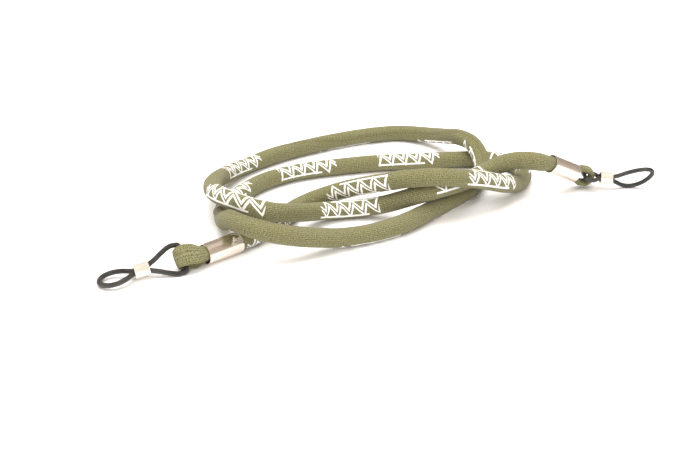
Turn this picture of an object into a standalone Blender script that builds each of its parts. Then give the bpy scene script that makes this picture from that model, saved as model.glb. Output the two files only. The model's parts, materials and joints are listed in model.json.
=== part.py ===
"""Eyeglass retainer strap: a stuffed fabric tube lying in loose turns, with a metal sleeve, a fabric eye,
a rubber temple loop and a sliding wire collar at each end.

Lengths below are in millimetres; the model itself is in metres with +Z up and the surface it lies on at z = 0.
"""

import math

import bmesh
import bpy
from mathutils import Vector

MM = 0.001
ORIGIN = Vector((24.0, 23.37, 0.0))  # the middle of the object's box, which becomes the origin

# Fabric tube and its core
TUBE_R = 3.5
TUBE_WALL = 0.9
CORE_R = 2.15
POINT_STEP = 11.5  # between points of the faceted tube
NECK_R = 2.85  # where the tube is squeezed into a sleeve
NECK_IN = 4.8  # how far the tube reaches into a sleeve
NECK_RAMP = 8.5  # arc length from the tube's end to its full radius

# Metal sleeves
SLEEVE_FLAT_R = 3.8  # centre to the middle of a flat
SLEEVE_BORE_R = 3.35
SLEEVE_LENGTH = 14.5
SLEEVE_LIP = 0.25
SLEEVE_EDGE = 0.06
SLEEVE_SIDES = 16

# The fabric inside a sleeve, on each side of its middle line
INNER_OFFSET = 1.45
INNER_HALF_WIDTH = 2.2
INNER_HALF_THICK = 1.15
INNER_GAP = 0.5  # from the end of the tube to the two layers of the fold
FOLD_NARROWING = 0.12  # share of its width lost round the rubber

# Rubber loops
RUBBER_R = 0.9
EYE_GAP = 0.25  # between the rubber and the fabric round it
NECK_HALF = 0.98  # from the loop's axis to each strand inside the collar
BACK_CORNER = 1.6  # size of the two corners beside the fabric eye
COLLAR_LEAD = 0.6  # the strands are drawn together this far ahead of the collar
TEMPLE_HALF = {"left": 4.3, "right": 4.4}
LOOP_POINTS = 64

# Wire collars
COLLAR_R = 2.5
COLLAR_BORE_R = 2.12
COLLAR_LENGTH = 5.2
COLLAR_EDGE = 0.15
COLLAR_SIDES = 24

# Each end: where the sleeve's mouth is and which way it points, the bend from there to the fabric eye,
# the eye's tilt, and the shape of the fold and of the rubber loop
ENDS = {
    "left": {
        "mouth": (-36.2, -22.6, 3.8),
        "sleeve_yaw": 222.0,
        "sleeve_pitch": 0.0,
        "eye_yaw": 204.0,
        "eye_pitch": -7.0,
        "eye_roll": 45.0,
        "eye_out": 8.0,
        "eye_z": 4.9,
        "fold_half_width": 3.9,
        "fold_half_thick": 1.05,
        "fold_spread": 0.0,
        "back_half": 5.1,
        "back_straight": 3.4,
        "collar_at": 12.0,
        "temple_roll": 0.0,
        "temple_lift": 0.0,
        "tip_at": 29.0,
    },
    "right": {
        "mouth": (85.0, 30.1, 13.3),
        "sleeve_yaw": 25.0,
        "sleeve_pitch": -26.0,
        "eye_yaw": -4.0,
        "eye_pitch": -5.0,
        "eye_roll": 0.0,
        "eye_out": 4.6,
        "eye_z": 5.6,
        "fold_half_width": 3.4,
        "fold_half_thick": 1.5,
        "fold_spread": 0.6,
        "back_half": 4.5,
        "back_straight": 3.0,
        "collar_at": 6.3,
        "temple_roll": 67.0,
        "temple_lift": 4.0,
        "tip_at": 27.0,
    },
}

# The strap's route from the left sleeve's mouth to the right one's. It lies on the surface,
# rising in long low humps where it passes over itself.
ROUTE = [
    (-32.4, -18.4, 3.7),
    (-27.4, -11.4, 3.6),
    (-21.5, -1.5, 3.6),
    (-17.0, 7.4, 3.8),
    (-11.7, 12.3, 4.6),
    (-5.0, 13.8, 6.6),
    (2.3, 12.5, 9.4),
    (9.6, 9.8, 12.2),
    (16.4, 7.0, 14.6),
    (23.4, 4.6, 16.8),
    (30.0, 3.3, 18.0),
    (36.5, 3.2, 18.4),
    (43.2, 4.9, 17.4),
    (49.6, 7.7, 15.8),
    (55.8, 11.6, 13.6),
    (62.6, 17.2, 10.3),
    (69.1, 25.3, 6.6),
    (74.2, 34.2, 4.1),
    (77.2, 43.5, 3.6),
    (76.4, 51.8, 3.6),
    (71.3, 57.9, 3.6),
    (63.5, 60.6, 3.6),
    (54.3, 60.5, 3.6),
    (34.9, 58.3, 3.6),
    (15.2, 55.6, 3.6),
    (-2.1, 51.2, 3.6),
    (-18.5, 45.0, 3.6),
    (-32.0, 34.0, 3.6),
    (-41.0, 18.5, 3.6),
    (-44.6, 6.0, 3.8),
    (-43.8, -3.0, 4.9),
    (-42.1, -11.2, 7.0),
    (-39.4, -18.6, 10.9),
    (-35.7, -24.7, 12.4),
    (-29.6, -29.2, 12.3),
    (-21.9, -30.0, 10.6),
    (-14.4, -27.4, 8.2),
    (-7.6, -24.2, 6.2),
    (0.0, -20.4, 4.4),
    (11.0, -15.2, 3.6),
    (22.6, -7.7, 3.6),
    (35.4, 5.9, 3.6),
    (48.0, 20.8, 3.6),
    (54.0, 30.0, 3.6),
    (58.0, 38.2, 3.8),
    (60.2, 45.5, 5.4),
    (59.8, 52.0, 8.4),
    (57.2, 58.6, 11.5),
    (53.0, 66.5, 11.5),
    (48.0, 77.0, 8.4),
    (42.0, 86.5, 5.6),
    (35.0, 92.6, 4.2),
    (26.0, 95.0, 3.6),
    (13.0, 91.5, 3.6),
    (0.0, 85.4, 3.6),
    (-12.0, 78.2, 3.6),
    (-24.0, 69.5, 3.6),
    (-35.5, 58.2, 3.6),
    (-43.6, 46.8, 4.4),
    (-48.1, 34.5, 6.2),
    (-49.8, 22.0, 8.8),
    (-49.4, 11.0, 11.2),
    (-47.2, 1.9, 12.9),
    (-43.6, -5.0, 14.1),
    (-38.3, -10.6, 14.5),
    (-31.1, -13.6, 13.1),
    (-23.5, -12.4, 10.9),
    (-17.3, -8.0, 8.8),
    (-11.9, -3.1, 6.7),
    (-5.7, 2.5, 4.8),
    (1.9, 5.9, 3.8),
    (9.6, 6.7, 4.2),
    (16.5, 6.1, 5.8),
    (23.3, 5.2, 8.2),
    (30.0, 5.1, 10.4),
    (36.8, 7.2, 11.5),
    (43.8, 12.6, 11.3),
    (51.1, 19.4, 10.8),
    (57.4, 24.8, 11.6),
    (63.7, 28.2, 13.4),
    (69.5, 29.2, 14.8),
    (74.4, 28.5, 15.4),
    (78.7, 28.0, 15.2),
    (82.2, 28.8, 14.3),
]


def unit_axes(yaw, pitch, roll):
    """Outward direction u, the fabric eye's axis w and its normal n, for angles in degrees."""
    yaw, pitch, roll = math.radians(yaw), math.radians(pitch), math.radians(roll)
    u = Vector((math.cos(yaw) * math.cos(pitch), math.sin(yaw) * math.cos(pitch), math.sin(pitch)))
    return u, *eye_axes(u, roll)


def eye_axes(u, roll):
    side = u.cross(Vector((0, 0, 1))).normalized()
    top = side.cross(u)
    w = side * math.cos(roll) + top * math.sin(roll)
    return w, w.cross(u)


def smooth_curve(points, closed=False, steps=12):
    """A centripetal Catmull-Rom curve through the points, as closely spaced points."""
    points = [Vector(p) for p in points]
    if closed:
        knots = [points[-1], *points, points[0], points[1]]
    else:
        knots = [2 * points[0] - points[1], *points, 2 * points[-1] - points[-2]]
    fine = []
    for p0, p1, p2, p3 in zip(knots, knots[1:], knots[2:], knots[3:]):
        t1 = (p1 - p0).length ** 0.5
        t2 = t1 + (p2 - p1).length ** 0.5
        t3 = t2 + (p3 - p2).length ** 0.5
        for k in range(steps):
            t = t1 + (t2 - t1) * k / steps
            a1 = p0.lerp(p1, t / t1)
            a2 = p1.lerp(p2, (t - t1) / (t2 - t1))
            a3 = p2.lerp(p3, (t - t2) / (t3 - t2))
            b1 = a1.lerp(a2, t / t2)
            b2 = a2.lerp(a3, (t - t1) / (t3 - t1))
            fine.append(b1.lerp(b2, (t - t1) / (t2 - t1)))
    fine.append(points[0] if closed else points[-1])
    return fine


def arc_lengths(points):
    lengths = [0.0]
    for a, b in zip(points, points[1:]):
        lengths.append(lengths[-1] + (b - a).length)
    return lengths


def points_at(points, wanted):
    """The points at these arc lengths along a fine curve, given in rising order."""
    lengths = arc_lengths(points)
    found = []
    i = 0
    for length in wanted:
        while i < len(points) - 2 and lengths[i + 1] < length:
            i += 1
        share = (length - lengths[i]) / (lengths[i + 1] - lengths[i])
        found.append(points[i].lerp(points[i + 1], share))
    return found


def material(name, color, roughness, metallic=0.0):
    made = bpy.data.materials.new(name)
    made.use_nodes = True
    shader = made.node_tree.nodes["Principled BSDF"]
    shader.inputs["Base Color"].default_value = (*color, 1.0)
    shader.inputs["Roughness"].default_value = roughness
    shader.inputs["Metallic"].default_value = metallic
    return made


def add_object(name, data, look, location=(0, 0, 0)):
    obj = bpy.data.objects.new(name, data)
    obj.location = location
    obj.data.materials.append(look)
    bpy.context.scene.collection.objects.link(obj)
    return obj


def to_world(point):
    return (Vector(point) - ORIGIN) * MM


def poly_curve(name, points, radii, look, sides, closed=False, origin=(0, 0, 0)):
    """A round bar along the points, as a bevelled poly curve; radii are one for each point."""
    curve = bpy.data.curves.new(name, "CURVE")
    curve.dimensions = "3D"
    curve.bevel_depth = MM
    curve.bevel_resolution = sides // 2 - 2
    curve.use_fill_caps = not closed
    spline = curve.splines.new("POLY")
    spline.points.add(len(points) - 1)
    spline.use_cyclic_u = closed
    for spline_point, point, radius in zip(spline.points, points, radii):
        spline_point.co = (*(to_world(point) - Vector(origin)), 1.0)
        spline_point.radius = radius
    return add_object(name, curve, look, origin)


def mesh_object(name, rings, look, caps, origin=(0, 0, 0)):
    """A skin over rings of points. With caps its ends are closed, without them the last ring meets the first."""
    mesh = bmesh.new()
    count = len(rings[0])
    rows = [[mesh.verts.new(to_world(p) - Vector(origin)) for p in ring] for ring in rings]
    pairs = list(zip(rows, rows[1:]))
    if not caps:
        pairs.append((rows[-1], rows[0]))
    for row, following in pairs:
        for k in range(count):
            after = (k + 1) % count
            mesh.faces.new((row[k], row[after], following[after], following[k]))
    if caps:
        mesh.faces.new(rows[0])
        mesh.faces.new(list(reversed(rows[-1])))
    bmesh.ops.recalc_face_normals(mesh, faces=mesh.faces)
    data = bpy.data.meshes.new(name)
    mesh.to_mesh(data)
    mesh.free()
    data.shade_smooth()
    data.set_sharp_from_angle(angle=math.radians(35))
    return add_object(name, data, look, origin)


def turned_ring(name, start, u, profile, sides, look, origin=(0, 0, 0)):
    """A ring turned about the line from start along u. The profile's points are (distance along, radius)."""
    side, top = eye_axes(u, 0.0)
    rings = []
    for along, radius in profile:
        ring = []
        for k in range(sides):
            angle = 2 * math.pi * (k + 0.5) / sides
            ring.append(start + u * along + side * radius * math.cos(angle) + top * radius * math.sin(angle))
        rings.append(ring)
    return mesh_object(name, rings, look, caps=False, origin=origin)


class End:
    """One end of the strap: its places and directions, worked out from its entry in ENDS."""

    def __init__(self, side):
        self.side = side
        self.size = ENDS[side]
        self.mouth = Vector(self.size["mouth"])
        self.sleeve_u = unit_axes(self.size["sleeve_yaw"], self.size["sleeve_pitch"], 0)[0]
        self.sleeve_end = self.mouth + self.sleeve_u * SLEEVE_LENGTH
        self.roll = math.radians(self.size["eye_roll"])
        self.u, self.w, self.n = unit_axes(self.size["eye_yaw"], self.size["eye_pitch"], self.size["eye_roll"])
        out = self.size["eye_out"]
        self.eye = self.sleeve_end + (self.sleeve_u + self.u).normalized() * out
        self.eye.z = self.size["eye_z"]

    def spine(self, q):
        """The fold's middle line: q is 0 at the sleeve's end and 1 at the eye, and negative inside the sleeve.
        Gives the point and the axes w and n there."""
        out = self.size["eye_out"]
        if q <= 0:
            w, n = eye_axes(self.sleeve_u, self.roll)
            return self.sleeve_end + self.sleeve_u * q * out, w, n
        start, end = self.sleeve_u * out, self.u * out
        point = (
            self.sleeve_end * (2 * q**3 - 3 * q**2 + 1)
            + start * (q**3 - 2 * q**2 + q)
            + self.eye * (3 * q**2 - 2 * q**3)
            + end * (q**3 - q**2)
        )
        u = self.sleeve_u.lerp(self.u, q).normalized()
        w, n = eye_axes(u, self.roll)
        return point, w, n

    def inside_point(self):
        """The strap's end, inside the sleeve."""
        return self.mouth + self.sleeve_u * NECK_IN


def fold_rings(end):
    """Rings along the fabric fold: out of the sleeve under the rubber, round it, and back in as the tail."""
    size = end.size
    wide, thick = size["fold_half_width"], size["fold_half_thick"]
    turn = RUBBER_R + EYE_GAP + thick
    start_q = -(SLEEVE_LENGTH - NECK_IN - INNER_GAP) / size["eye_out"]
    shares = [start_q, start_q * 0.5, -0.04, 0.2, 0.4, 0.6, 0.8, 1.0]

    def layer(q, side):
        share = min(max(q / 0.6, 0.0), 1.0)
        share = share * share * (3 - 2 * share)
        point, w, n = end.spine(q)
        offset = INNER_OFFSET + (turn + size["fold_spread"] - INNER_OFFSET) * share
        across = INNER_HALF_WIDTH + (wide - INNER_HALF_WIDTH) * share
        deep = INNER_HALF_THICK + (thick - INNER_HALF_THICK) * share
        return oval(point + n * offset * side, w, n * side, across, deep)

    def oval(centre, across_axis, deep_axis, across, deep):
        ring = []
        for k in range(12):
            angle = 2 * math.pi * k / 12
            ring.append(centre + across_axis * across * math.cos(angle) + deep_axis * deep * math.sin(angle))
        return ring

    rings = [layer(q, -1) for q in shares]
    for k in range(1, 10):
        angle = math.pi * k / 10
        radial = end.u * math.sin(angle) - end.n * math.cos(angle)
        middle = end.eye + radial * turn - end.n * math.cos(angle) * size["fold_spread"]
        across = wide * (1 - FOLD_NARROWING * math.sin(angle))
        rings.append(oval(middle, end.w, radial, across, thick))
    rings += [layer(q, 1) for q in reversed(shares)]
    return rings


def rubber_route(end):
    """The closed middle line of a rubber loop: the pin through the eye, two strands drawn together
    through the collar, and the temple loop, which is turned about the loop's axis."""
    size = end.size
    back, straight, collar, tip = size["back_half"], size["back_straight"], size["collar_at"], size["tip_at"]
    temple = TEMPLE_HALF[end.side]
    out = collar + COLLAR_LENGTH
    room = tip - out
    turn = math.radians(size["temple_roll"] - size["eye_roll"])
    half = [
        (0.0, back * 0.45, 0.0),
        (0.0, back - 0.75 * BACK_CORNER, 0.0),
        (0.28 * BACK_CORNER, back - 0.19 * BACK_CORNER, 0.0),
        (BACK_CORNER, back, 0.0),
        (straight, back, 0.0),
        (0.62 * straight + 0.38 * collar, 0.66 * back + 0.34 * NECK_HALF, 0.0),
        (0.32 * straight + 0.68 * collar, 0.31 * back + 0.69 * NECK_HALF, 0.0),
        (collar - COLLAR_LEAD, NECK_HALF + 0.5 * COLLAR_LEAD, 0.0),
        (collar, NECK_HALF, 0.0),
        (collar + 0.5 * COLLAR_LENGTH, NECK_HALF, 0.5),
        (out, NECK_HALF, 1.0),
        (out + 0.1 * room, NECK_HALF + 0.2 * (temple - NECK_HALF), 1.0),
        (out + 0.32 * room, 0.8 * temple, 1.0),
        (out + 0.55 * room, temple, 1.0),
        (out + 0.78 * room, 0.9 * temple, 1.0),
        (out + 0.94 * room, 0.52 * temple, 1.0),
    ]

    def place(along, across, share):
        angle = turn * share
        rise = size["temple_lift"] * max(0.0, (along - out) / room) ** 2
        spread = end.w * math.cos(angle) + end.n * math.sin(angle)
        return end.eye + end.u * along + end.n * rise + spread * across

    points = [place(0, 0, 0)]
    points += [place(*h) for h in half]
    points.append(place(tip, 0, 1.0))
    points += [place(along, -across, share) for along, across, share in reversed(half)]
    return points


def tube_stations(length):
    """Arc lengths of the faceted tube's points: close together at its necks, then even."""
    count = round((length - 2 * NECK_RAMP) / POINT_STEP)
    even = [NECK_RAMP + (length - 2 * NECK_RAMP) * k / count for k in range(count + 1)]
    return [0.0, NECK_IN, *even, length - NECK_IN, length]


def build_strap(ends, fabric, filler):
    route = [ends["left"].inside_point(), ends["left"].mouth, *ROUTE, ends["right"].mouth]
    route.append(ends["right"].inside_point())
    fine = smooth_curve(route)
    stations = tube_stations(arc_lengths(fine)[-1])
    points = points_at(fine, stations)
    radii = [TUBE_R] * len(points)
    radii[0] = radii[1] = radii[-1] = radii[-2] = NECK_R
    tube = poly_curve("fabric_tube", points, radii, fabric, sides=12)
    tube.data.use_fill_caps = False
    wall = tube.modifiers.new("wall", "SOLIDIFY")
    wall.thickness = TUBE_WALL * MM
    wall.offset = -1
    core = points[2:-2]
    poly_curve("core_cord", core, [CORE_R] * len(core), filler, sides=8)


def build_end(end, fabric, nickel, rubber, wire):
    side = end.side
    outer = SLEEVE_FLAT_R / math.cos(math.pi / SLEEVE_SIDES)
    bore = SLEEVE_BORE_R / math.cos(math.pi / SLEEVE_SIDES)
    lip = SLEEVE_LIP
    sleeve_profile = [
        (0, bore + lip),
        (lip, bore),
        (SLEEVE_LENGTH - lip, bore),
        (SLEEVE_LENGTH, bore + lip),
        (SLEEVE_LENGTH, outer - SLEEVE_EDGE),
        (SLEEVE_LENGTH - SLEEVE_EDGE, outer),
        (SLEEVE_EDGE, outer),
        (0, outer - SLEEVE_EDGE),
    ]
    turned_ring(f"{side}_sleeve", end.mouth, end.sleeve_u, sleeve_profile, SLEEVE_SIDES, nickel)
    mesh_object(f"{side}_end_fold", fold_rings(end), fabric, caps=True)

    hinge = to_world(end.eye)
    fine = smooth_curve(rubber_route(end), closed=True)
    length = arc_lengths(fine)[-1]
    points = points_at(fine, [length * k / LOOP_POINTS for k in range(LOOP_POINTS)])
    radii = [RUBBER_R] * LOOP_POINTS
    poly_curve(f"{side}_rubber_loop", points, radii, rubber, sides=10, closed=True, origin=hinge)

    start = end.eye + end.u * end.size["collar_at"]
    collar_profile = [
        (0, COLLAR_BORE_R),
        (COLLAR_LENGTH, COLLAR_BORE_R),
        (COLLAR_LENGTH, COLLAR_R - COLLAR_EDGE),
        (COLLAR_LENGTH - COLLAR_EDGE, COLLAR_R),
        (COLLAR_EDGE, COLLAR_R),
        (0, COLLAR_R - COLLAR_EDGE),
    ]
    turned_ring(f"{side}_collar", start, end.u, collar_profile, COLLAR_SIDES, wire, origin=to_world(start))


def main():
    for obj in list(bpy.data.objects):
        bpy.data.objects.remove(obj)
    fabric = material("olive_fabric", (0.30, 0.28, 0.13), 0.9)
    filler = material("filler_cord", (0.75, 0.73, 0.68), 0.95)
    nickel = material("nickel_sleeve", (0.78, 0.74, 0.69), 0.22, 1.0)
    wire = material("nickel_wire", (0.80, 0.78, 0.72), 0.28, 1.0)
    rubber = material("black_rubber", (0.035, 0.035, 0.033), 0.45)
    ends = {side: End(side) for side in ENDS}
    build_strap(ends, fabric, filler)
    for end in ends.values():
        build_end(end, fabric, nickel, rubber, wire)


main()
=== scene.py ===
"""Looks of the eyeglass retainer strap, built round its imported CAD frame.

Lengths below are in millimetres, in the layout that the CAD part is drawn in; to_world gives metres in the
row frame. The strap is one knitted tube, crimped at each end in a metal sleeve round a fold of itself.
"""

import json
import math

import bpy
import numpy as np
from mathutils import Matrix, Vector, noise

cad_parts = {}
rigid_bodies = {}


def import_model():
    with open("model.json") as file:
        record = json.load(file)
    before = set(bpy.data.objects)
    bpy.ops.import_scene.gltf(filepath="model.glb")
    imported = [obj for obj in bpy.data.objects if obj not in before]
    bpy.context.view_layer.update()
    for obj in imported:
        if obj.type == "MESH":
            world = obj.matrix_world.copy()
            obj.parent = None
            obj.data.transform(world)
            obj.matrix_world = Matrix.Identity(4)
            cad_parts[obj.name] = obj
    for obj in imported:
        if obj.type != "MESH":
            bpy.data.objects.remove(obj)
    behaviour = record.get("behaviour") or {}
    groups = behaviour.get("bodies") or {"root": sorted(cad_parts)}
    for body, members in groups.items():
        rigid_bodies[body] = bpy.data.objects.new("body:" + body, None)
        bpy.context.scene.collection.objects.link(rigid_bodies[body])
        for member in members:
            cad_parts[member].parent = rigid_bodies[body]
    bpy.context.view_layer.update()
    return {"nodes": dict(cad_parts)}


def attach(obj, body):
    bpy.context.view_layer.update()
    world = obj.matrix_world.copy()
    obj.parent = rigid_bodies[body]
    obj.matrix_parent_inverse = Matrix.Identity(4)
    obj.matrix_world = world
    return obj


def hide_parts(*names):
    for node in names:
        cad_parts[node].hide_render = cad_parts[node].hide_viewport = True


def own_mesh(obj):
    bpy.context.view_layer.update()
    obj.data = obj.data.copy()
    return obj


MM = 0.001
ORIGIN = Vector((24.0, 23.37, 0.0))

# Strap
TUBE_R = 3.5
NECK_R = 2.95
NECK_IN = 4.8
NECK_REACH = 6.0  # how far outside a sleeve the tube is still drawn in
RING_STEP = 1.1
TUBE_SIDES = 32
SEAM_LAG = math.radians(-130)  # from the print's line to the seam
GATHERS = 9  # small folds round the tube where it enters a sleeve
GATHER_DEPTH = 0.16
GATHER_REACH = 5.0
SWELL_DEPTH = 0.09  # slow changes of the tube's thickness
SWELL_LENGTH = 19
LUMP_DEPTH = 0.10
LUMP_LENGTH = 7
TIGHT_BEND = 0.05  # one over the bend's radius where the inner side is fully wrinkled
WRINKLE_DEPTH = 0.16
WRINKLE_LENGTH = 3.4
SEAM_RISE = 0.22
SEAM_HALF_WIDTH = 1.1
SEAM_DIP = 0.12  # the stitched groove beside the seam
SEAM_DIP_AT = 1.5
SEAM_DIP_HALF_WIDTH = 0.6
STRAP_LOWEST = 0.12

# Metal sleeves
SLEEVE_R = 3.8
SLEEVE_WALL = 0.35
SLEEVE_LENGTH = 14.5
SLEEVE_SIDES = 72
BUTT_SEAM_DEPTH = 0.05
BUTT_SEAM_HALF_ANGLE = 0.06

# Rubber loops
RUBBER_R = 0.9
EYE_GAP = 0.25
NECK_HALF = 0.98
BACK_CORNER = 1.6
COLLAR_LEAD = 0.6
TEMPLE_HALF = {"left": 4.3, "right": 4.4}
RUBBER_STEPS = 16  # points between two of the route's own
RUBBER_RING_STEP = 0.3
RUBBER_SIDES = 20
RUBBER_LUMPS = 0.018
PARTING_LINE = 0.035

# The fold's cover: its corners' power (2 is an oval), and how much of the CAD fold's width and thickness it
# fills at the eye, where the rubber swings past it
FOLD_POWER = {"left": 2.5, "right": 2.0}
FOLD_FILL = {"left": (1.0, 1.0), "right": (0.88, 0.85)}
FOLD_SPREAD = {"left": 0.0, "right": 0.3}
FOLD_IN = (2.55, 1.36)  # half width and half thickness of one layer inside the sleeve
FOLD_IN_OFFSET = 1.45
FOLD_OPENS = 0.62  # share of the way to the eye where a layer has its full width
FOLD_STARTS = -5.0  # inside the sleeve
FOLD_LEG_STEPS = 22
FOLD_BEND_STEPS = 18
FOLD_SIDES = 36
FOLD_LUMPS = 0.05  # as a share of its half width
FOLD_NARROWING = 0.10
FOLD_LOWEST = 0.1

# Wire collars
COLLAR_R = 2.5
COLLAR_LENGTH = 5.2
WIRE_R = 0.27
WIRE_STEPS = 36
WIRE_SIDES = 12

ENDS = {
    "left": {
        "mouth": (-36.2, -22.6, 3.8),
        "sleeve_yaw": 222.0,
        "sleeve_pitch": 0.0,
        "eye_yaw": 204.0,
        "eye_pitch": -7.0,
        "eye_roll": 45.0,
        "eye_out": 8.0,
        "eye_z": 4.9,
        "fold_half_width": 3.9,
        "fold_half_thick": 1.05,
        "fold_spread": 0.0,
        "back_half": 5.1,
        "back_straight": 3.4,
        "collar_at": 12.0,
        "temple_roll": 0.0,
        "temple_lift": 0.0,
        "tip_at": 29.0,
    },
    "right": {
        "mouth": (85.0, 30.1, 13.3),
        "sleeve_yaw": 25.0,
        "sleeve_pitch": -26.0,
        "eye_yaw": -4.0,
        "eye_pitch": -5.0,
        "eye_roll": 0.0,
        "eye_out": 4.6,
        "eye_z": 5.6,
        "fold_half_width": 3.4,
        "fold_half_thick": 1.5,
        "fold_spread": 0.6,
        "back_half": 4.5,
        "back_straight": 3.0,
        "collar_at": 6.3,
        "temple_roll": 67.0,
        "temple_lift": 4.0,
        "tip_at": 27.0,
    },
}

# The strap's route from the left sleeve's mouth to the right one's, as in the CAD part
ROUTE = [
    (-32.4, -18.4, 3.7),
    (-27.4, -11.4, 3.6),
    (-21.5, -1.5, 3.6),
    (-17.0, 7.4, 3.8),
    (-11.7, 12.3, 4.6),
    (-5.0, 13.8, 6.6),
    (2.3, 12.5, 9.4),
    (9.6, 9.8, 12.2),
    (16.4, 7.0, 14.6),
    (23.4, 4.6, 16.8),
    (30.0, 3.3, 18.0),
    (36.5, 3.2, 18.4),
    (43.2, 4.9, 17.4),
    (49.6, 7.7, 15.8),
    (55.8, 11.6, 13.6),
    (62.6, 17.2, 10.3),
    (69.1, 25.3, 6.6),
    (74.2, 34.2, 4.1),
    (77.2, 43.5, 3.6),
    (76.4, 51.8, 3.6),
    (71.3, 57.9, 3.6),
    (63.5, 60.6, 3.6),
    (54.3, 60.5, 3.6),
    (34.9, 58.3, 3.6),
    (15.2, 55.6, 3.6),
    (-2.1, 51.2, 3.6),
    (-18.5, 45.0, 3.6),
    (-32.0, 34.0, 3.6),
    (-41.0, 18.5, 3.6),
    (-44.6, 6.0, 3.8),
    (-43.8, -3.0, 4.9),
    (-42.1, -11.2, 7.0),
    (-39.4, -18.6, 10.9),
    (-35.7, -24.7, 12.4),
    (-29.6, -29.2, 12.3),
    (-21.9, -30.0, 10.6),
    (-14.4, -27.4, 8.2),
    (-7.6, -24.2, 6.2),
    (0.0, -20.4, 4.4),
    (11.0, -15.2, 3.6),
    (22.6, -7.7, 3.6),
    (35.4, 5.9, 3.6),
    (48.0, 20.8, 3.6),
    (54.0, 30.0, 3.6),
    (58.0, 38.2, 3.8),
    (60.2, 45.5, 5.4),
    (59.8, 52.0, 8.4),
    (57.2, 58.6, 11.5),
    (53.0, 66.5, 11.5),
    (48.0, 77.0, 8.4),
    (42.0, 86.5, 5.6),
    (35.0, 92.6, 4.2),
    (26.0, 95.0, 3.6),
    (13.0, 91.5, 3.6),
    (0.0, 85.4, 3.6),
    (-12.0, 78.2, 3.6),
    (-24.0, 69.5, 3.6),
    (-35.5, 58.2, 3.6),
    (-43.6, 46.8, 4.4),
    (-48.1, 34.5, 6.2),
    (-49.8, 22.0, 8.8),
    (-49.4, 11.0, 11.2),
    (-47.2, 1.9, 12.9),
    (-43.6, -5.0, 14.1),
    (-38.3, -10.6, 14.5),
    (-31.1, -13.6, 13.1),
    (-23.5, -12.4, 10.9),
    (-17.3, -8.0, 8.8),
    (-11.9, -3.1, 6.7),
    (-5.7, 2.5, 4.8),
    (1.9, 5.9, 3.8),
    (9.6, 6.7, 4.2),
    (16.5, 6.1, 5.8),
    (23.3, 5.2, 8.2),
    (30.0, 5.1, 10.4),
    (36.8, 7.2, 11.5),
    (43.8, 12.6, 11.3),
    (51.1, 19.4, 10.8),
    (57.4, 24.8, 11.6),
    (63.7, 28.2, 13.4),
    (69.5, 29.2, 14.8),
    (74.4, 28.5, 15.4),
    (78.7, 28.0, 15.2),
    (82.2, 28.8, 14.3),
]

# The printed marks: how far along the tube each one's middle is, and its angle round the tube in degrees,
# from the strap's outer side (0) over its top (90). The tube twists as it lies, so the angle drifts.
PRINTS = [
    (20, -30),
    (69, 6),
    (125, 35),
    (172, 100),
    (222, 120),
    (268, 130),
    (312, 105),
    (360, 230),
    (405, 262),
    (450, 245),
    (490, 215),
    (527, 272),
    (580, 290),
    (641, 135),
    (701, 50),
    (752, 32),
    (800, 60),
]
PRINT_HALF = 13.5
PRINT_TOOTH = 2.9
PRINT_SLOPE = 1.55
NO_PRINT = 99.0  # farther from a mark's middle than any mark reaches

# Camera, in metres
CAMERA_AT = (-0.024, -0.34057, 0.1479)
CAMERA_TILT = 65.0
CAMERA_LENS = 48.7

# Room, in metres: its colour by height, from 0 at the bottom to 1 overhead, and how bright it is in front of
# the object and behind it
FLOOR_HALF = 6.0
ROOM = [
    (0.0, (0.52, 0.47, 0.43)),
    (0.22, (0.46, 0.41, 0.37)),
    (0.40, (0.50, 0.43, 0.37)),
    (0.74, (0.47, 0.395, 0.335)),
    (0.85, (0.85, 0.77, 0.70)),
    (1.0, (0.42, 0.39, 0.36)),
]
ROOM_IN_FRONT = 1.25
ROOM_BEHIND = 0.9


# Shapes -------------------------------------------------------------------------------------------


def to_world(point):
    return (Vector(point) - ORIGIN) * MM


def eye_axes(u, roll):
    side = u.cross(Vector((0, 0, 1))).normalized()
    top = side.cross(u)
    w = side * math.cos(roll) + top * math.sin(roll)
    return w, w.cross(u)


def direction(yaw, pitch=0.0):
    yaw, pitch = math.radians(yaw), math.radians(pitch)
    return Vector((math.cos(yaw) * math.cos(pitch), math.sin(yaw) * math.cos(pitch), math.sin(pitch)))


def smooth_curve(points, closed=False, steps=24):
    """A centripetal Catmull-Rom curve through the points, as closely spaced points."""
    points = [Vector(p) for p in points]
    if closed:
        knots = [points[-1], *points, points[0], points[1]]
    else:
        knots = [2 * points[0] - points[1], *points, 2 * points[-1] - points[-2]]
    fine = []
    for p0, p1, p2, p3 in zip(knots, knots[1:], knots[2:], knots[3:]):
        t1 = (p1 - p0).length ** 0.5
        t2 = t1 + (p2 - p1).length ** 0.5
        t3 = t2 + (p3 - p2).length ** 0.5
        for k in range(steps):
            t = t1 + (t2 - t1) * k / steps
            a1 = p0.lerp(p1, t / t1)
            a2 = p1.lerp(p2, (t - t1) / (t2 - t1))
            a3 = p2.lerp(p3, (t - t2) / (t3 - t2))
            b1 = a1.lerp(a2, t / t2)
            b2 = a2.lerp(a3, (t - t1) / (t3 - t1))
            fine.append(b1.lerp(b2, (t - t1) / (t2 - t1)))
    fine.append(points[0] if closed else points[-1])
    return fine


def evenly(points, step):
    """Points about a step apart along a fine curve, and how far along it each one is."""
    array = np.array(points)
    along = np.concatenate([[0.0], np.cumsum(np.linalg.norm(np.diff(array, axis=0), axis=1))])
    wanted = np.linspace(0.0, along[-1], round(along[-1] / step) + 1)
    return np.stack([np.interp(wanted, along, array[:, k]) for k in range(3)], axis=1), wanted


def unit(vectors):
    return vectors / np.linalg.norm(vectors, axis=-1, keepdims=True)


def hump(x):
    """1 at x = 0, falling smoothly to 0 at x = 1 and beyond."""
    x = np.clip(np.abs(x), 0.0, 1.0)
    return 1 - x * x * (3 - 2 * x)


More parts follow.
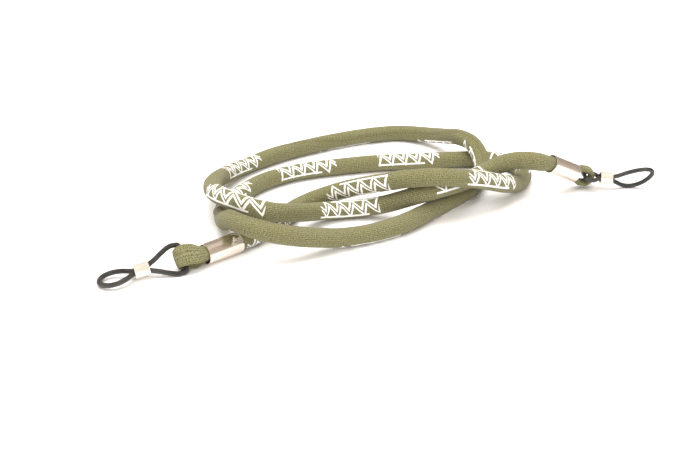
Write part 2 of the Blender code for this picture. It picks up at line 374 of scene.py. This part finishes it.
def noise_round(along, angles, reach, shift=0):
    """Smooth noise at each place along a tube, by each angle round it, without a break where it closes."""
    places = [(math.cos(a) * reach, math.sin(a) * reach + shift) for a in angles]
    return np.array([[noise.noise(Vector((s, *place))) for place in places] for s in along])


def skin(name, rings, look, caps=True, maps=None):
    """A closed mesh over rings of points in layout millimetres, an array of ring x point x 3.

    Each of maps is a UV map: its name, and a function that gives u and v for the corners of faces, from
    arrays of the corners' ring and column and of the faces' ring and column.
    """
    count, sides = rings.shape[:2]
    points = (rings.reshape(-1, 3) - np.array(ORIGIN)) * MM
    face_i, face_k = np.meshgrid(np.arange(count - 1 if caps else count), np.arange(sides), indexing="ij")
    face_i, face_k = face_i.reshape(-1, 1), face_k.reshape(-1, 1)
    i, k = face_i + np.array([[0, 0, 1, 1]]), face_k + np.array([[0, 1, 1, 0]])

    middles = points.reshape(count, sides, 3).mean(1)
    vertex = (i % count) * sides + k % sides
    a, b, c = (points[vertex[:, n]] for n in range(3))
    outward = np.cross(b - a, c - b) * (a - middles[face_i[:, 0]])
    inside_out = outward.sum() < 0
    if inside_out:
        i, k, vertex = i[:, ::-1], k[:, ::-1], vertex[:, ::-1]
    faces = vertex.tolist()
    if caps:
        first, last = list(range(sides)), list(range((count - 1) * sides, count * sides))
        faces += [first, last[::-1]] if inside_out else [first[::-1], last]

    mesh = bpy.data.meshes.new(name)
    mesh.from_pydata(points.tolist(), [], faces)
    for map_name, place in (maps or {}).items():
        layer = mesh.uv_layers.new(name=map_name)
        uv = np.zeros((len(mesh.loops), 2), np.float32)
        uv[: i.size] = np.stack(place(i, k, face_i, face_k), axis=-1).reshape(-1, 2)
        layer.data.foreach_set("uv", uv.ravel())
    mesh.shade_smooth()
    mesh.set_sharp_from_angle(angle=math.radians(50))
    mesh.materials.append(look)
    obj = bpy.data.objects.new(name, mesh)
    bpy.context.scene.collection.objects.link(obj)
    return obj


def transported_frames(points):
    """Tangents and two cross directions along the points, with no twist of their own."""
    tangents = unit(np.gradient(points, axis=0))
    first = np.cross(tangents[0], (0.0, 0.0, 1.0))
    if np.linalg.norm(first) < 0.1:
        first = np.cross(tangents[0], (0.0, 1.0, 0.0))
    across = [first / np.linalg.norm(first)]
    for tangent in tangents[1:]:
        following = across[-1] - tangent * np.dot(across[-1], tangent)
        across.append(following / np.linalg.norm(following))
    across = np.array(across)
    return tangents, across, np.cross(tangents, across)


class End:
    """One end of the strap: its places and directions, as in the CAD part."""

    def __init__(self, side):
        self.side = side
        self.size = ENDS[side]
        self.mouth = Vector(self.size["mouth"])
        self.sleeve_u = direction(self.size["sleeve_yaw"], self.size["sleeve_pitch"])
        self.sleeve_end = self.mouth + self.sleeve_u * SLEEVE_LENGTH
        self.roll = math.radians(self.size["eye_roll"])
        self.u = direction(self.size["eye_yaw"], self.size["eye_pitch"])
        self.w, self.n = eye_axes(self.u, self.roll)
        self.eye = self.sleeve_end + (self.sleeve_u + self.u).normalized() * self.size["eye_out"]
        self.eye.z = self.size["eye_z"]
        self.twist = math.radians(self.size["temple_roll"]) - self.roll

    def spine(self, q):
        """The fold's middle line: q is 0 at the sleeve's end, 1 at the eye and negative inside the sleeve.
        Gives the point and the axes w and n there."""
        out = self.size["eye_out"]
        if q <= 0:
            w, n = eye_axes(self.sleeve_u, self.roll)
            return self.sleeve_end + self.sleeve_u * q * out, w, n
        start, end = self.sleeve_u * out, self.u * out
        point = (
            self.sleeve_end * (2 * q**3 - 3 * q**2 + 1)
            + start * (q**3 - 2 * q**2 + q)
            + self.eye * (3 * q**2 - 2 * q**3)
            + end * (q**3 - q**2)
        )
        u = self.sleeve_u.lerp(self.u, q).normalized()
        w, n = eye_axes(u, self.roll)
        return point, w, n

    def inside_point(self):
        """The strap's end, inside the sleeve."""
        return self.mouth + self.sleeve_u * NECK_IN

    def across_temple(self):
        """The direction between the temple loop's two strands."""
        return self.w * math.cos(self.twist) + self.n * math.sin(self.twist)


def make_strap(ends, look):
    """The knitted tube between the sleeves, as one piece whose ends reach back inside the sleeves."""
    route = [ends["left"].inside_point(), ends["left"].mouth, *ROUTE, ends["right"].mouth]
    route.append(ends["right"].inside_point())
    centres, along = evenly(smooth_curve(route), RING_STEP)
    length = along[-1]
    tangents = unit(np.gradient(centres, along, axis=0))
    outer = unit(np.cross(tangents, (0.0, 0.0, 1.0)))
    top = np.cross(outer, tangents)
    bend = np.gradient(tangents, along, axis=0)
    bend_outer, bend_top = (bend * outer).sum(1), (bend * top).sum(1)
    tightness = np.hypot(bend_outer, bend_top)
    inner_angle = np.arctan2(bend_top, bend_outer)

    print_at = np.array([p[0] for p in PRINTS], float)
    print_angle = np.radians([p[1] for p in PRINTS])
    seam = np.interp(along, print_at, print_angle) + SEAM_LAG

    column = 2 * math.pi * np.arange(TUBE_SIDES) / TUBE_SIDES
    angle = seam[:, None] + column[None, :]

    from_sleeve = np.minimum(along, length - along) - NECK_IN
    drawn_in = hump(np.clip(from_sleeve / NECK_REACH, 0, 1))
    radius = TUBE_R + (NECK_R - TUBE_R) * drawn_in[:, None] + np.zeros_like(angle)
    gathered = GATHER_DEPTH * hump(from_sleeve / GATHER_REACH) * (from_sleeve > -1)
    radius += gathered[:, None] * np.cos(GATHERS * angle)

    swell = np.array([noise.noise(Vector((s / SWELL_LENGTH, 3.1, 0))) for s in along])
    lumps = noise_round(along / LUMP_LENGTH, column, 1.3, 9)
    radius += SWELL_DEPTH * swell[:, None] + LUMP_DEPTH * lumps

    inner_side = np.clip(np.cos(angle - inner_angle[:, None]), 0, 1) ** 2
    pinch = np.clip(tightness / TIGHT_BEND, 0, 1)[:, None] * inner_side
    ripple = np.sin(2 * math.pi * along / WRINKLE_LENGTH + 2.5 * swell)[:, None]
    radius -= WRINKLE_DEPTH * pinch * (0.6 + ripple)

    off_seam = np.minimum(column, 2 * math.pi - column) * TUBE_R
    radius += SEAM_RISE * hump(off_seam / SEAM_HALF_WIDTH)
    radius -= SEAM_DIP * hump((off_seam - SEAM_DIP_AT) / SEAM_DIP_HALF_WIDTH)

    rings = centres[:, None, :] + radius[..., None] * (
        outer[:, None, :] * np.cos(angle)[..., None] + top[:, None, :] * np.sin(angle)[..., None]
    )
    rings[..., 2] = np.maximum(rings[..., 2], STRAP_LOWEST)

    def cloth(i, k, face_i, face_k):
        return k * (2 * math.pi * TUBE_R / TUBE_SIDES), along[i]

    def printed(i, k, face_i, face_k):
        mark = np.abs(along[face_i] - print_at[None, :]).argmin(1)[:, None]
        middle = seam[face_i] + 2 * math.pi * (face_k + 0.5) / TUBE_SIDES - print_angle[mark]
        middle = (middle + math.pi) % (2 * math.pi) - math.pi
        turn = middle + 2 * math.pi * (k - face_k - 0.5) / TUBE_SIDES
        return along[i] - print_at[mark], turn * TUBE_R

    strap = skin("strap_cover", rings, look, maps={"cloth": cloth, "print": printed})
    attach(strap, "strap")
    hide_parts("fabric_tube")


def make_fold(end, look):
    """The strap's flattened end: out of the sleeve, round the rubber and back in as its tail."""
    size = end.size
    wide, thick = size["fold_half_width"], size["fold_half_thick"]
    turn = RUBBER_R + EYE_GAP + thick
    wide, thick = wide * FOLD_FILL[end.side][0], thick * FOLD_FILL[end.side][1]
    spread = FOLD_SPREAD[end.side]
    angles = 2 * math.pi * np.arange(FOLD_SIDES) / FOLD_SIDES
    flat = 2 / FOLD_POWER[end.side]
    across = np.sign(np.cos(angles)) * np.abs(np.cos(angles)) ** flat
    deep = np.sign(np.sin(angles)) * np.abs(np.sin(angles)) ** flat

    def ring(centre, across_axis, deep_axis, half_across, half_deep, seed, gather):
        lumps = noise_round([seed / 3.1], angles, 1.1, len(end.side))[0]
        swell = 1 + FOLD_LUMPS * (lumps + gather * np.cos(7 * angles))
        points = np.outer(across * half_across * swell, across_axis)
        points += np.outer(deep * half_deep * swell, deep_axis)
        return np.array(centre)[None, :] + points

    def layer(q, side, seed):
        share = 1 - hump(max(q, 0.0) / FOLD_OPENS)
        point, w, n = end.spine(q)
        offset = FOLD_IN_OFFSET + (turn + spread - FOLD_IN_OFFSET) * share
        half_across = FOLD_IN[0] + (wide - FOLD_IN[0]) * share
        half_deep = FOLD_IN[1] + (thick - FOLD_IN[1]) * share
        return ring(point + n * offset * side, w, n * side, half_across, half_deep, seed, 1 - share)

    start_q = FOLD_STARTS / size["eye_out"]
    shares = [start_q + (1 - start_q) * k / FOLD_LEG_STEPS for k in range(FOLD_LEG_STEPS + 1)]
    step = (1 - start_q) * size["eye_out"] / FOLD_LEG_STEPS
    rings, along = [], []
    for k, q in enumerate(shares):
        rings.append(layer(q, -1, k * step))
        along.append(k * step)
    for k in range(1, FOLD_BEND_STEPS):
        turned = math.pi * k / FOLD_BEND_STEPS
        radial = end.u * math.sin(turned) - end.n * math.cos(turned)
        middle = end.eye + radial * turn - end.n * math.cos(turned) * spread
        half_across = wide * (1 - FOLD_NARROWING * math.sin(turned))
        along.append(along[-1] + turn * math.pi / FOLD_BEND_STEPS)
        rings.append(ring(middle, end.w, radial, half_across, thick, along[-1], 0))
    for q in reversed(shares):
        along.append(along[-1] + step)
        rings.append(layer(q, 1, along[-1]))
    rings = np.array(rings)
    rings[..., 2] = np.maximum(rings[..., 2], FOLD_LOWEST)
    along = np.array(along)

    def cloth(i, k, face_i, face_k):
        return k * (4.0 * wide / FOLD_SIDES), along[i]

    def no_print(i, k, face_i, face_k):
        return i * 0.0 + NO_PRINT, k * 0.0

    fold = skin(f"{end.side}_fold_cover", rings, look, maps={"cloth": cloth, "print": no_print})
    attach(fold, "strap")
    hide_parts(f"{end.side}_end_fold")


def make_sleeve(end, look):
    """A drawn metal tube with rolled lips and a faint butt seam underneath."""
    inner = SLEEVE_R - SLEEVE_WALL
    lip = [(0.02, inner + 0.02), (0.0, inner + 0.14), (0.05, SLEEVE_R - 0.08), (0.18, SLEEVE_R - 0.01)]
    body = [(a, SLEEVE_R) for a in np.linspace(0.5, SLEEVE_LENGTH - 0.5, 24)]
    outside = lip + body + [(SLEEVE_LENGTH - a, r) for a, r in reversed(lip)]
    inside = [(SLEEVE_LENGTH - 0.3, inner), (SLEEVE_LENGTH / 2, inner), (0.3, inner)]
    profile = outside + inside
    side, top = eye_axes(end.sleeve_u, 0.0)
    rings = []
    for along, radius in profile:
        ring = []
        for k in range(SLEEVE_SIDES):
            angle = 2 * math.pi * (k + 0.5) / SLEEVE_SIDES
            off_seam = abs(angle - 1.5 * math.pi) / BUTT_SEAM_HALF_ANGLE
            dent = BUTT_SEAM_DEPTH * max(0.0, 1 - off_seam) if radius == SLEEVE_R else 0.0
            radial = side * math.cos(angle) + top * math.sin(angle)
            ring.append(end.mouth + end.sleeve_u * along + radial * (radius - dent))
        rings.append(ring)
    sleeve = skin(f"{end.side}_sleeve_shell", np.array(rings), look, caps=False)
    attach(sleeve, "strap")
    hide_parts(f"{end.side}_sleeve")


def rubber_route(end):
    """Points on the closed middle line of a rubber loop, as in the CAD part."""
    size = end.size
    back, straight = size["back_half"], size["back_straight"]
    collar, tip = size["collar_at"], size["tip_at"]
    temple = TEMPLE_HALF[end.side]
    out = collar + COLLAR_LENGTH
    room = tip - out
    half = [
        (0.0, back * 0.45, 0.0),
        (0.0, back - 0.75 * BACK_CORNER, 0.0),
        (0.28 * BACK_CORNER, back - 0.19 * BACK_CORNER, 0.0),
        (BACK_CORNER, back, 0.0),
        (straight, back, 0.0),
        (0.62 * straight + 0.38 * collar, 0.66 * back + 0.34 * NECK_HALF, 0.0),
        (0.32 * straight + 0.68 * collar, 0.31 * back + 0.69 * NECK_HALF, 0.0),
        (collar - COLLAR_LEAD, NECK_HALF + 0.5 * COLLAR_LEAD, 0.0),
        (collar, NECK_HALF, 0.0),
        (collar + 0.5 * COLLAR_LENGTH, NECK_HALF, 0.5),
        (out, NECK_HALF, 1.0),
        (out + 0.1 * room, NECK_HALF + 0.2 * (temple - NECK_HALF), 1.0),
        (out + 0.32 * room, 0.8 * temple, 1.0),
        (out + 0.55 * room, temple, 1.0),
        (out + 0.78 * room, 0.9 * temple, 1.0),
        (out + 0.94 * room, 0.52 * temple, 1.0),
    ]

    def place(along, across, share):
        angle = end.twist * share
        rise = size["temple_lift"] * max(0.0, (along - out) / room) ** 2
        spread = end.w * math.cos(angle) + end.n * math.sin(angle)
        return end.eye + end.u * along + end.n * rise + spread * across

    points = [place(0, 0, 0)]
    points += [place(*h) for h in half]
    points.append(place(tip, 0, 1.0))
    points += [place(along, -across, share) for along, across, share in reversed(half)]
    return points


def make_rubber(end, look):
    """The rubber loop in two pieces that meet inside the collar: the back strands and the temple loop."""
    points = smooth_curve(rubber_route(end), closed=True, steps=RUBBER_STEPS)[:-1]
    near, far = 10 * RUBBER_STEPS, 24 * RUBBER_STEPS  # the middle of the collar on each strand
    stretches = {"back": points[far:] + points[: near + 1], "temple": points[near : far + 1]}
    for part, stretch in stretches.items():
        centres, along = evenly(stretch, RUBBER_RING_STEP)
        _, across, up = transported_frames(centres)
        angles = 2 * math.pi * np.arange(RUBBER_SIDES) / RUBBER_SIDES
        lumps = noise_round(along / 2.3, angles, 1)
        radius = RUBBER_R * (1 + RUBBER_LUMPS * lumps)
        radius += PARTING_LINE * hump((angles - math.pi) / 0.35)
        cos, sin = np.cos(angles)[None, :, None], np.sin(angles)[None, :, None]
        radial = across[:, None, :] * cos + up[:, None, :] * sin
        rings = centres[:, None, :] + radius[..., None] * radial
        piece = skin(f"{end.side}_rubber_{part}", rings, look)
        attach(piece, f"{end.side}_loop")
        if part == "back":
            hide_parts(f"{end.side}_rubber_loop")
        else:
            axis, anchor = tuple(end.across_temple()), tuple(to_world(end.eye))
            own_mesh(piece)


def make_collar(end, look):
    """A close-wound coil of plated wire round the two strands."""
    turns = round(COLLAR_LENGTH / (2 * WIRE_R)) - 1
    mean_radius = COLLAR_R - WIRE_R
    start = end.eye + end.u * end.size["collar_at"]
    side, top = eye_axes(end.u, 0.0)
    side, top, axis = np.array(side), np.array(top), np.array(end.u)
    turned = 2 * math.pi * np.arange((turns + 1) * WIRE_STEPS + 1) / WIRE_STEPS
    # The first and last half turns lie flat, so that the coil's ends are square.
    level = np.clip((turned - math.pi) / (turned[-1] - 2 * math.pi), 0, 1)
    along = WIRE_R + (COLLAR_LENGTH - 2 * WIRE_R) * level
    radial = side[None, :] * np.cos(turned)[:, None] + top[None, :] * np.sin(turned)[:, None]
    centres = np.array(start)[None, :] + axis[None, :] * along[:, None] + radial * mean_radius
    angles = 2 * math.pi * np.arange(WIRE_SIDES) / WIRE_SIDES
    cos, sin = np.cos(angles)[None, :, None], np.sin(angles)[None, :, None]
    rings = centres[:, None, :] + WIRE_R * (radial[:, None, :] * cos + axis[None, None, :] * sin)
    collar = skin(f"{end.side}_collar_wire", rings, look)
    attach(collar, f"{end.side}_clamp")
    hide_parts(f"{end.side}_collar")


# Materials ----------------------------------------------------------------------------------------


class Look:
    """A material under construction: adds shader nodes and links them."""

    def __init__(self, name):
        self.material = bpy.data.materials.new(name)
        self.material.use_nodes = True
        self.tree = self.material.node_tree
        self.shader = self.tree.nodes["Principled BSDF"]

    def node(self, kind, inputs=None, **settings):
        made = self.tree.nodes.new("ShaderNode" + kind)
        for key, value in settings.items():
            setattr(made, key, value)
        for key, value in (inputs or {}).items():
            self.put(made.inputs[key], value)
        return made

    def put(self, socket, value):
        if isinstance(value, bpy.types.NodeSocket):
            self.tree.links.new(value, socket)
        else:
            socket.default_value = value

    def set(self, **inputs):
        for key, value in inputs.items():
            self.put(self.shader.inputs[key.replace("_", " ")], value)

    def math(self, operation, a, b=0.0, c=0.0):
        made = self.node("Math", operation=operation)
        for socket, value in zip(made.inputs, (a, b, c)):
            self.put(socket, value)
        return made.outputs[0]

    def mix(self, share, a, b):
        made = self.node("Mix", data_type="RGBA")
        for socket, value in zip((made.inputs[0], made.inputs[6], made.inputs[7]), (share, a, b)):
            self.put(socket, value)
        return made.outputs[2]

    def span(self, value, low, high, to_low=0.0, to_high=1.0):
        inputs = {"Value": value, "From Min": low, "From Max": high}
        made = self.node("MapRange", inputs, interpolation_type="SMOOTHSTEP")
        self.put(made.inputs["To Min"], to_low)
        self.put(made.inputs["To Max"], to_high)
        return made.outputs[0]

    def noise(self, vector, scale, detail=2.0):
        return self.node("TexNoise", {"Vector": vector, "Scale": scale, "Detail": detail}).outputs["Fac"]

    def bump(self, height, distance, strength=1.0):
        made = self.node("Bump", {"Height": height, "Distance": distance, "Strength": strength})
        self.put(self.shader.inputs["Normal"], made.outputs[0])

    def object_place(self):
        return self.node("TexCoord").outputs["Object"]


def knit_look():
    """Olive knitted fabric, fine and slightly slubby, with a white printed double zigzag at each mark."""
    look = Look("olive_knit")
    cloth = look.node("UVMap", uv_map="cloth").outputs[0]
    parts = look.node("SeparateXYZ", {"Vector": cloth})
    around, along = parts.outputs[0], parts.outputs[1]
    wander = look.math("MULTIPLY", look.noise(cloth, 0.8, 4.0), 1.6)

    slant = look.math("ADD", look.math("MULTIPLY", around, 0.62), look.math("MULTIPLY", along, 0.80))
    rib = look.math("SINE", look.math("MULTIPLY", look.math("ADD", slant, wander), 2 * math.pi / 1.0))
    cross = look.math("SUBTRACT", look.math("MULTIPLY", along, 0.70), look.math("MULTIPLY", around, 0.72))
    thread = look.math("SINE", look.math("MULTIPLY", look.math("ADD", cross, wander), 2 * math.pi / 0.9))
    weave = look.math("MULTIPLY_ADD", look.math("MULTIPLY", rib, thread), 0.5, 0.5)
    fuzz = look.noise(cloth, 2.2, 4.0)
    height = look.math("ADD", weave, look.math("MULTIPLY", fuzz, 0.8))

    slub = look.span(fuzz, 0.34, 0.66)
    tone = look.math("ADD", look.math("MULTIPLY", weave, 0.55), look.math("MULTIPLY", slub, 0.45))
    yarn = look.mix(tone, (0.038, 0.037, 0.015, 1), (0.335, 0.322, 0.170, 1))
    shade = look.span(look.noise(cloth, 0.09, 2.0), 0.3, 0.7)
    yarn = look.mix(look.math("MULTIPLY", shade, 0.30), yarn, (0.175, 0.165, 0.068, 1))

    # The seam lies where the cloth map starts and ends: a tighter band with slanting stitches.
    edge = 2 * math.pi * TUBE_R
    off_seam = look.math("MINIMUM", around, look.math("SUBTRACT", edge, around))
    on_seam = look.math("SUBTRACT", 1.0, look.span(off_seam, 0.9, 1.15))
    stitch = look.math("SINE", look.math("MULTIPLY", look.math("ADD", along, off_seam), 2 * math.pi / 1.5))
    stitched = look.math("MULTIPLY", on_seam, look.span(stitch, -0.2, 0.5))
    yarn = look.mix(look.math("MULTIPLY", stitched, 0.55), yarn, (0.12, 0.11, 0.05, 1))

    # A printed mark is an open double zigzag between two bars of unequal length.
    marks = look.node("SeparateXYZ", {"Vector": look.node("UVMap", uv_map="print").outputs[0]})
    x, y = marks.outputs[0], marks.outputs[1]
    ragged = look.math("MULTIPLY", look.math("SUBTRACT", look.noise(cloth, 1.7, 3.0), 0.5), 0.35)
    tooth = look.math("PINGPONG", look.math("ADD", x, look.math("MULTIPLY", y, 0.40)), PRINT_TOOTH)
    zigzag = look.math("MULTIPLY", look.math("SUBTRACT", tooth, PRINT_TOOTH / 2), PRINT_SLOPE)
    off_zigzag = look.math("ABSOLUTE", look.math("SUBTRACT", y, zigzag))
    off_zigzag = look.math("DIVIDE", off_zigzag, math.hypot(1.0, PRINT_SLOPE))
    painted = 0.0
    for off_line, half_line, from_x, to_x in (
        (look.math("SUBTRACT", off_zigzag, 0.66), 0.34, -PRINT_HALF, PRINT_HALF),
        (look.math("SUBTRACT", y, 3.35), 0.36, -7.0, PRINT_HALF),
        (look.math("ADD", y, 3.45), 0.42, -PRINT_HALF, 9.0),
    ):
        off_line = look.math("ADD", look.math("ABSOLUTE", off_line), ragged)
        line = look.math("SUBTRACT", 1.0, look.span(off_line, half_line - 0.08, half_line + 0.10))
        reach = look.math("MULTIPLY", look.math("GREATER_THAN", x, from_x), look.math("LESS_THAN", x, to_x))
        painted = look.math("MAXIMUM", painted, look.math("MULTIPLY", line, reach))
    worn = look.math("MULTIPLY", painted, look.span(fuzz, 0.2, 0.4, 0.75, 1.0))
    color = look.mix(worn, yarn, (0.92, 0.92, 0.90, 1))

    look.set(Base_Color=color, Roughness=look.span(worn, 0.0, 1.0, 0.88, 0.6))
    look.set(Sheen_Weight=0.15, Sheen_Roughness=0.45, Specular_IOR_Level=0.15)
    look.bump(look.math("SUBTRACT", height, look.math("MULTIPLY", stitched, 0.5)), 0.00013, 1.0)
    return look.material


def nickel_look():
    """Polished nickel plate with faint scuffs; its warm tint is partly its own, partly painted reflection.
    """
    look = Look("nickel_plate")
    place = look.object_place()
    scuffs = look.noise(place, 700.0, 4.0)
    clouds = look.noise(place, 120.0, 2.0)
    # Warm tint: partly the plating's own colour, partly painted reflection of warm surroundings; the darker
    # scuffs are wear.
    color = look.mix(look.span(clouds, 0.35, 0.65), (0.86, 0.77, 0.68, 1), (0.90, 0.82, 0.74, 1))
    color = look.mix(look.span(scuffs, 0.66, 0.80), color, (0.72, 0.63, 0.55, 1))
    look.set(Base_Color=color, Metallic=1.0, Roughness=look.span(scuffs, 0.3, 0.8, 0.16, 0.28))
    look.bump(clouds, 0.000006, 0.4)
    return look.material


def wire_look():
    """Nickel-plated spring wire, softer and warmer than the sleeves."""
    look = Look("nickel_wire")
    place = look.object_place()
    clouds = look.noise(place, 220.0, 2.0)
    grain = look.noise(place, 1200.0, 2.0)
    color = look.mix(look.span(clouds, 0.35, 0.65), (0.95, 0.92, 0.84, 1), (0.91, 0.87, 0.78, 1))
    look.set(Base_Color=color, Metallic=0.65, Roughness=look.span(grain, 0.3, 0.7, 0.30, 0.40))
    look.bump(clouds, 0.000006, 0.3)
    return look.material


def rubber_look():
    """Satin black rubber with a faint bloom."""
    look = Look("black_rubber")
    place = look.object_place()
    grain = look.noise(place, 2600.0, 3.0)
    bloom = look.noise(place, 260.0, 3.0)
    color = look.mix(look.span(bloom, 0.35, 0.7), (0.022, 0.022, 0.021, 1), (0.048, 0.047, 0.044, 1))
    look.set(Base_Color=color, Roughness=look.span(bloom, 0.3, 0.7, 0.34, 0.48))
    look.bump(grain, 0.00002, 0.6)
    return look.material


def filler_look():
    """Soft twisted filler cord, inside the tube."""
    look = Look("filler_cord")
    place = look.object_place()
    inputs = {"Vector": place, "Scale": 260.0, "Distortion": 2.0}
    strands = look.node("TexWave", inputs, bands_direction="DIAGONAL")
    color = look.mix(strands.outputs["Fac"], (0.50, 0.48, 0.43, 1), (0.80, 0.78, 0.73, 1))
    look.set(Base_Color=color, Roughness=0.95)
    look.bump(strands.outputs["Fac"], 0.0002, 0.6)
    return look.material


# Stage --------------------------------------------------------------------------------------------


def make_camera():
    data = bpy.data.cameras.new("camera")
    data.lens = CAMERA_LENS
    data.sensor_width = 36.0
    data.clip_start = 0.01
    camera = bpy.data.objects.new("camera", data)
    camera.location = CAMERA_AT
    camera.rotation_euler = (math.radians(CAMERA_TILT), 0, 0)
    bpy.context.scene.collection.objects.link(camera)
    bpy.context.scene.camera = camera


def make_floor():
    look = Look("pale_floor")
    soft = look.noise(look.object_place(), 3.0, 2.0)
    color = look.mix(soft, (0.925, 0.925, 0.93, 1), (0.945, 0.945, 0.95, 1))
    look.set(Base_Color=color, Roughness=0.75, Specular_IOR_Level=0.1)
    mesh = bpy.data.meshes.new("floor")
    h = FLOOR_HALF
    mesh.from_pydata([(-h, -h, 0), (h, -h, 0), (h, h, 0), (-h, h, 0)], [], [(0, 1, 2, 3)])
    mesh.materials.append(look.material)
    floor = bpy.data.objects.new("floor", mesh)
    bpy.context.scene.collection.objects.link(floor)


def area_light(name, place, target, width, height, power, color):
    """A soft box that lights the scene but isn't mirrored in the metal, which shows the room instead."""
    data = bpy.data.lights.new(name, "AREA")
    data.shape = "RECTANGLE"
    data.size, data.size_y = width, height
    data.energy = power
    data.color = color
    lamp = bpy.data.objects.new(name, data)
    lamp.location = place
    lamp.rotation_euler = (Vector(target) - Vector(place)).to_track_quat("-Z", "Y").to_euler()
    lamp.visible_glossy = False
    bpy.context.scene.collection.objects.link(lamp)


def make_light():
    """A large soft box overhead, a weak one in front, and a warm grey room that is brighter in front."""
    area_light("overhead", (-0.10, 0.12, 0.95), (0, 0, 0), 1.1, 0.9, 15.0, (1.0, 0.995, 0.985))
    area_light("front_fill", (0.15, -1.0, 0.8), (0, 0, 0), 1.6, 0.9, 10.5, (1.0, 0.99, 0.98))
    world = bpy.data.worlds.new("room")
    world.use_nodes = True
    tree = world.node_tree
    place = tree.nodes.new("ShaderNodeTexCoord")
    parts = tree.nodes.new("ShaderNodeSeparateXYZ")
    tree.links.new(place.outputs["Generated"], parts.inputs[0])
    ramp = tree.nodes.new("ShaderNodeValToRGB")
    tree.links.new(parts.outputs[2], ramp.inputs[0])
    stops = ramp.color_ramp.elements
    for height, _ in ROOM[1:-1]:
        stops.new(height)
    for stop, (height, color) in zip(stops, ROOM):
        stop.position, stop.color = height, (*color, 1)
    front = tree.nodes.new("ShaderNodeMapRange")
    front.interpolation_type = "SMOOTHSTEP"
    tree.links.new(parts.outputs[1], front.inputs["Value"])
    for key, value in (
        ("From Min", -0.3),
        ("From Max", 0.7),
        ("To Min", ROOM_IN_FRONT),
        ("To Max", ROOM_BEHIND),
    ):
        front.inputs[key].default_value = value
    tree.links.new(ramp.outputs[0], tree.nodes["Background"].inputs["Color"])
    tree.links.new(front.outputs[0], tree.nodes["Background"].inputs["Strength"])
    bpy.context.scene.world = world
    bpy.context.scene.view_settings.view_transform = "Standard"


def main():
    for obj in list(bpy.data.objects):
        bpy.data.objects.remove(obj)
    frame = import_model()
    ends = {side: End(side) for side in ENDS}
    knit, nickel, wire, rubber = knit_look(), nickel_look(), wire_look(), rubber_look()
    make_camera()
    make_strap(ends, knit)
    for end in ends.values():
        make_fold(end, knit)
        make_sleeve(end, nickel)
        make_rubber(end, rubber)
        make_collar(end, wire)
    core = frame["nodes"]["core_cord"]
    core.data.materials.clear()
    core.data.materials.append(filler_look())
    make_floor()
    make_light()


main()
